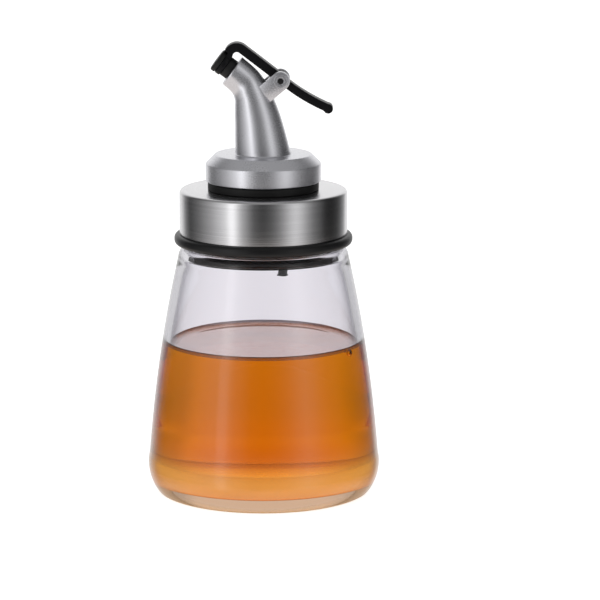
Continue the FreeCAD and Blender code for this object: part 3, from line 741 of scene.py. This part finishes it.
# %% Ears
EAR_RADIUS = 3.25 * MM
EAR_LENGTH = 7.2 * MM
EAR_TILT = math.radians(40)
EAR_THICKNESS = 2.0 * MM
LEVER_WIDTH = 5.6 * MM
EAR_INNER = LEVER_WIDTH / 2 + RUNNING_GAP
BOSS = 2.3 * MM
BOSS_HEIGHT = 0.3 * MM
BOSS_ROOT = 0.6 * MM
PIN = 1.2 * MM
BOSS_GAP = 0.08 * MM
ear_outer = EAR_INNER + EAR_THICKNESS
boss_bore = PIN + BOSS_GAP


def plate(points, y_low, y_high, bevel, segments=2):
    """A flat plate with that outline in the XZ plane, between two depths, edges bevelled."""
    bm = bmesh.new()
    face = bm.faces.new([bm.verts.new((x, y_low, z)) for x, z in points])
    pushed = bmesh.ops.extrude_face_region(bm, geom=[face])["geom"]
    far = [item for item in pushed if isinstance(item, bmesh.types.BMVert)]
    bmesh.ops.translate(bm, vec=(0, y_high - y_low, 0), verts=far)
    bmesh.ops.recalc_face_normals(bm, faces=bm.faces[:])
    rims = [edge for edge in bm.edges if len(edge.link_faces) == 2
            and edge.calc_face_angle(0) > math.radians(50)]
    bmesh.ops.bevel(bm, geom=rims, offset=bevel, offset_type="OFFSET", segments=segments,
                    profile=0.5, affect="EDGES", material=-1, clamp_overlap=True)
    return bm


def local(points, tilt, centre=pivot):
    """Points given along and across a direction from the pivot, as (x, z)."""
    along, across = math.cos(tilt), math.sin(tilt)
    return [(centre.x + u * along - v * across, centre.z + u * across + v * along)
            for u, v in points]


ear_points = [(-EAR_LENGTH, -EAR_RADIUS), (0, -EAR_RADIUS)]
ear_points += arc((0, -EAR_RADIUS), (0, EAR_RADIUS), EAR_RADIUS * 1.0001, -1, 24)
ear_points.append((-EAR_LENGTH, EAR_RADIUS))
for side, word in ((-1, "near"), (1, "far")):
    depths = sorted((side * EAR_INNER, side * ear_outer))
    ear = plate(local(ear_points, EAR_TILT), *depths, 0.25 * MM)
    stand = (Matrix.Translation((pivot.x, side * ear_outer, pivot.z))
             @ Matrix.Rotation(math.radians(-90 * side), 4, "X"))
    boss = turned([(boss_bore, -BOSS_ROOT), (BOSS, -BOSS_ROOT), (BOSS, BOSS_HEIGHT),
                   (boss_bore, BOSS_HEIGHT)],
                  [(2, 0.12 * MM), (3, 0.1 * MM)], steps=48, axis=stand)
    finished(f"ear_{word}", joined(ear, boss), "pourer", "silver_plastic", silver.material,
             "spout_body")

# %% Pin
PIN_DOME = 0.1 * MM
PIN_ROUND = 0.25 * MM
lay = Matrix.Translation((pivot.x, 0, pivot.z)) @ Matrix.Rotation(math.pi / 2, 4, "X")
pin_outline = [(0, -ear_outer - PIN_DOME), (PIN, -ear_outer), (PIN, ear_outer),
               (0, ear_outer + PIN_DOME)]
pin = turned(pin_outline, [(1, PIN_ROUND), (2, PIN_ROUND)], closed=False, steps=48, axis=lay)
finished("pivot", pin, "pourer", "pin_steel", pin_black, "pivot_pin")

# %% [markdown]
# ## The lever
# One moulded bar. Its side view is the shape that matters: a straight arm from the pivot, an
# arch that folds over to the head, and a tail that dips to a round end for the thumb. The
# outline is pushed to the bar's width and its edges are rounded. The bar has no hole for the
# pin, because the ears hide that place.

# %% Lever
ARM_THICKNESS = 3.1 * MM
ARM_RISE = 0.45 * MM
ARM_HIGH = ARM_RISE + ARM_THICKNESS / 2
ARM_LOW = ARM_RISE - ARM_THICKNESS / 2
ARCH_BORE = 1.4 * MM
ARCH_OUTER = ARCH_BORE + ARM_THICKNESS
ARCH_DROP = ARCH_BORE - ARM_LOW
ARCH_END = 128
arch_centre = MOUTH + Vector((1.65, 0, 5.15)) * MM
span = arch_centre - pivot
ARM = math.sqrt(span.x ** 2 + span.z ** 2 - ARCH_DROP ** 2)
ARM_TILT = -(math.atan2(span.z, -span.x) + math.atan2(ARCH_DROP, ARM))
TAIL_TILT = math.radians(-31.0)
HUB = 2.9 * MM
TAIL = 19.0 * MM
TAIL_START = 2.9 * MM
TAIL_FOOT = 2.6 * MM
TAIL_HALF = 1.4 * MM
TIP = 1.65 * MM
TAIL_BOW = 64 * MM
HEAD = 4.0 * MM
HEAD_FOOT = 2.65 * MM
HEAD_THICKNESS = 2.0 * MM
WAIST = 1.8 * MM
BUTTON = 4.1 * MM
BUTTON_ROOM = 0.1 * MM
BAR_ROUND = 0.7 * MM
head_top = HEAD_FOOT + HEAD_THICKNESS
button_foot = head_top + FIT_GAP
lean = math.radians(MOUTH_TILT)


def from_mouth(along, across):
    """A point (x, z) so far out along the mouth's axis and so far up across it."""
    return (MOUTH.x - math.sin(lean) * along + math.cos(lean) * across,
            MOUTH.z + math.cos(lean) * along + math.sin(lean) * across)


def round_part(centre, radius, start, end, count):
    """Points of a circle from one angle to another, in degrees."""
    angles = [math.radians(start + (end - start) * index / count) for index in range(count + 1)]
    return [(centre[0] + radius * math.cos(a), centre[1] + radius * math.sin(a)) for a in angles]


# %% [markdown]
# The outline of the bar runs from the hub along the arm's underside, round the inside of the
# arch, around the head's root, back over the outside of the arch and down to the tail. A pocket
# in the arch keeps clear of the stopper's button.

# %% Outline of the bar
crown = math.degrees(math.pi / 2 + ARM_TILT)
recess = BUTTON + BUTTON_ROOM
arch_side = ((arch_centre.x - MOUTH.x) * math.cos(lean)
             + (arch_centre.z - MOUTH.z) * math.sin(lean))
recess_end = MOUTH_TILT + math.degrees(math.acos((recess - arch_side) / ARCH_OUTER))
arch_middle = (arch_centre.x, arch_centre.z)
head_root = HEAD_FOOT + 0.1 * MM
lever_head = [from_mouth(head_root, 3.4 * MM), from_mouth(head_root, 1.0 * MM),
              from_mouth(button_foot, 1.0 * MM), from_mouth(button_foot, recess)]
arm = (local([(-3.4 * MM, ARM_LOW)], ARM_TILT)
       + round_part(arch_middle, ARCH_BORE, crown, crown + ARCH_END, 12)
       + lever_head
       + round_part(arch_middle, ARCH_OUTER, recess_end, crown, 16)
       + local([(-2.2 * MM, ARM_HIGH)], ARM_TILT))
tail_end = TAIL - 1.3 * MM
tail_top = [(TAIL_START, TAIL_HALF)]
tail_top += arc(tail_top[0], (tail_end, TAIL_HALF), TAIL_BOW, -1, 6)
tail_under = [(tail_end, -TAIL_HALF)]
tail_under += arc(tail_under[0], (TAIL_FOOT, -TAIL_HALF), TAIL_BOW, 1, 6)
tip_edge = 174 - math.degrees(math.asin(TAIL_HALF / TIP))
tail = local(tail_top + round_part((TAIL, 0), TIP, tip_edge, -tip_edge, 20) + tail_under,
             TAIL_TILT)
hub_over = local(round_part((0, 0), HUB, 112, 42, 6), 0)
hub_under = local(round_part((0, 0), HUB, -76, -172, 8), 0)
bar = plate(arm + hub_over + tail + hub_under, -LEVER_WIDTH / 2, LEVER_WIDTH / 2, BAR_ROUND, 4)
print("lever bar:", len(bar.faces), "faces")

# %% [markdown]
# The head is a small disc around the mouth's axis, open in the middle for the stopper's waist.

# %% Lever's head
HEAD_ROUND = 0.5 * MM
head_bore = WAIST + FIT_GAP
mouth_axis = Matrix.Translation(MOUTH) @ Matrix.Rotation(math.radians(-MOUTH_TILT), 4, "Y")
head_outline = [(head_bore, HEAD_FOOT), (HEAD, HEAD_FOOT), (HEAD, head_top),
                (head_bore, head_top)]
head = turned(head_outline, [(1, HEAD_ROUND), (2, HEAD_ROUND)], steps=64, axis=mouth_axis)
finished("lever_bar", joined(bar, head), "lever", "lever_plastic", lever_black, "lever")

# %% [markdown]
# ## The stopper
# One piece of rubber pushed through the head: a pad that closes the mouth, a waist, and a
# button that keeps it in place.

# %% Stopper
PAD = 3.6 * MM
BUTTON_THICKNESS = 1.7 * MM
pad_top = HEAD_FOOT - FIT_GAP
button_top = button_foot + BUTTON_THICKNESS
stopper_outline = [(0, FIT_GAP), (PAD, FIT_GAP), (PAD, pad_top), (WAIST, pad_top),
                   (WAIST, button_foot), (BUTTON, button_foot), (BUTTON, button_top),
                   (0, button_top)]
stopper_rounds = [(1, 0.25 * MM), (2, 0.2 * MM), (5, 0.35 * MM), (6, 0.6 * MM)]
stopper = turned(stopper_outline, stopper_rounds, closed=False, steps=64, axis=mouth_axis)
finished("rubber_stopper", stopper, "lever", "black_rubber", rubber_black, "stopper")

# %% [markdown]
# ## Pieces kept from the CAD model
# The vent tube, the plate that holds it and the seal on the rim are right as they are. They only
# need their finish.

# %% Carried nodes


def dress(node, material):
    mesh = frame["nodes"][node].data
    mesh.materials.clear()
    mesh.materials.append(material)
    print("dressed", node)


dress("vent_tube", satin_black)
dress("flow_plate", satin_black)
dress("neck_seal", silicone.material)

# %% [markdown]
# ## Studio
# The bottle stands on a pale table. Shiny things show their surroundings, so the room's walls
# are drawn as soft panels around it: a narrow bright panel on the left, a broader one on the
# right, and dark gaps between, which give steel and glass their edges. The walls are one colour
# ramp around the compass, with a dim ceiling above and the table's own light below.

# %% Floor
FLOOR_SIZE = 4.0
FLOOR_DROP = 0.2 * MM
bm = bmesh.new()
bmesh.ops.create_grid(bm, x_segments=1, y_segments=1, size=FLOOR_SIZE)
floor_mesh = bpy.data.meshes.new("table_top")
bm.to_mesh(floor_mesh)
bm.free()
table_top = bpy.data.objects.new("table_top", floor_mesh)
table_top.location.z = -FLOOR_DROP
bpy.context.scene.collection.objects.link(table_top)
table_top.visible_glossy = False
table_top.visible_transmission = False
pale = Finish("pale_table", Base_Color=(0.93, 0.93, 0.93, 1), Roughness=0.9,
              Specular_IOR_Level=0.0, Emission_Color=(1, 1, 1, 1), Emission_Strength=0.85)
floor_mesh.materials.append(pale.material)
table_top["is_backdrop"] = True

# %% [markdown]
# The camera itself sees plain white behind the bottle. Reflections see the room. What is seen
# through glass is a mixture of the two, or the glass would look smoky from every side that
# faces a dark wall.

# %% Walls
WALLS = [
    # compass degrees from the camera's side, positive to the right, and brightness
    (-90, 0.30), (-76, 0.48), (-60, 0.85), (-50, 1.1), (-47, 1.75), (-40, 1.75), (-36, 1.1),
    (-30, 0.62), (-22, 0.38), (-14, 0.13), (0, 0.06), (11, 0.12), (19, 0.22), (27, 0.40),
    (36, 0.72), (45, 1.0), (53, 0.8), (63, 0.45), (73, 0.22), (83, 0.13), (94, 0.03),
    (108, 0.025), (122, 0.06), (133, 0.17), (145, 0.45), (154, 1.05), (205, 1.05), (214, 0.85),
    (227, 0.25), (240, 0.06), (262, 0.2), (270, 0.30),
]
BRIGHTEST = 3.0
ZENITH = (0.35, 0.35, 0.35)
TABLE = (0.85, 0.79, 0.74)
THROUGH_GLASS = 0.55
world = bpy.data.worlds.new("studio")
bpy.context.scene.world = world
world.use_nodes = True
tree = world.node_tree
tree.nodes.clear()
way = tree.nodes.new("ShaderNodeTexCoord")
compass = tree.nodes.new("ShaderNodeTexGradient")
compass.gradient_type = "RADIAL"
tree.links.new(way.outputs["Generated"], compass.inputs["Vector"])
walls = tree.nodes.new("ShaderNodeValToRGB")
walls.color_ramp.interpolation = "LINEAR"
for index, (degrees, brightness) in enumerate(WALLS):
    place = 0.25 + degrees / 360
    ramp = walls.color_ramp.elements
    stop = ramp[index] if index < 2 else ramp.new(place)
    stop.position = place
    stop.color = (brightness / BRIGHTEST,) * 3 + (1,)
tree.links.new(compass.outputs["Fac"], walls.inputs["Fac"])
print("wall panels:", len(WALLS))

# %% Sky and table light
SKY_ZONE = (0.55, 0.85)
TABLE_ZONE = (-0.28, -0.5)


def zone(value, low, high):
    """0 below low, 1 above high, smooth between."""
    node = tree.nodes.new("ShaderNodeMapRange")
    node.interpolation_type = "SMOOTHSTEP"
    node.inputs["From Min"].default_value = low
    node.inputs["From Max"].default_value = high
    tree.links.new(value, node.inputs["Value"])
    return node.outputs[0]


def layered(amount, under, over):
    """One colour laid over another by an amount."""
    node = tree.nodes.new("ShaderNodeMix")
    node.data_type = "RGBA"
    tree.links.new(amount, node.inputs[0])
    tree.links.new(under, node.inputs[6])
    node.inputs[7].default_value = [channel / BRIGHTEST for channel in over] + [1]
    return node.outputs[2]


split = tree.nodes.new("ShaderNodeSeparateXYZ")
tree.links.new(way.outputs["Generated"], split.inputs[0])
height = split.outputs["Z"]
sky = layered(zone(height, *SKY_ZONE), walls.outputs["Color"], ZENITH)
sky = layered(zone(height, *TABLE_ZONE), sky, TABLE)
room = tree.nodes.new("ShaderNodeBackground")
room.inputs["Strength"].default_value = BRIGHTEST
tree.links.new(sky, room.inputs["Color"])
white = tree.nodes.new("ShaderNodeBackground")
white.inputs["Strength"].default_value = 1.0
seen = tree.nodes.new("ShaderNodeLightPath")
choose = tree.nodes.new("ShaderNodeMixShader")
through = tree.nodes.new("ShaderNodeMath")
through.operation = "MULTIPLY_ADD"
through.use_clamp = True
through.inputs[1].default_value = THROUGH_GLASS
tree.links.new(seen.outputs["Is Transmission Ray"], through.inputs[0])
tree.links.new(seen.outputs["Is Camera Ray"], through.inputs[2])
tree.links.new(through.outputs[0], choose.inputs[0])
tree.links.new(room.outputs[0], choose.inputs[1])
tree.links.new(white.outputs[0], choose.inputs[2])
out = tree.nodes.new("ShaderNodeOutputWorld")
tree.links.new(choose.outputs[0], out.inputs["Surface"])
print("world nodes:", len(tree.nodes))

# %% [markdown]
# ## Camera
# A long lens from a little above the table keeps the bottle's sides nearly parallel, as a
# product photographer would. Its height and distance set how round the ellipses look.

# %% Camera
CAMERA = Vector((0.0126, -1.2, 0.305))
AIM = Vector((0.0126, 0.0, 0.067))
LENS = 212.2
camera_data = bpy.data.cameras.new("camera")
camera_data.lens = LENS
camera_data.sensor_width = 36
camera_data.clip_start = 0.05
camera = bpy.data.objects.new("camera", camera_data)
camera.location = CAMERA
camera.rotation_euler = (AIM - CAMERA).to_track_quat("-Z", "Y").to_euler()
bpy.context.scene.collection.objects.link(camera)
bpy.context.scene.camera = camera
bpy.context.scene.view_settings.view_transform = "Standard"

# %% Bounds of the finished scene
low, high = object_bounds()
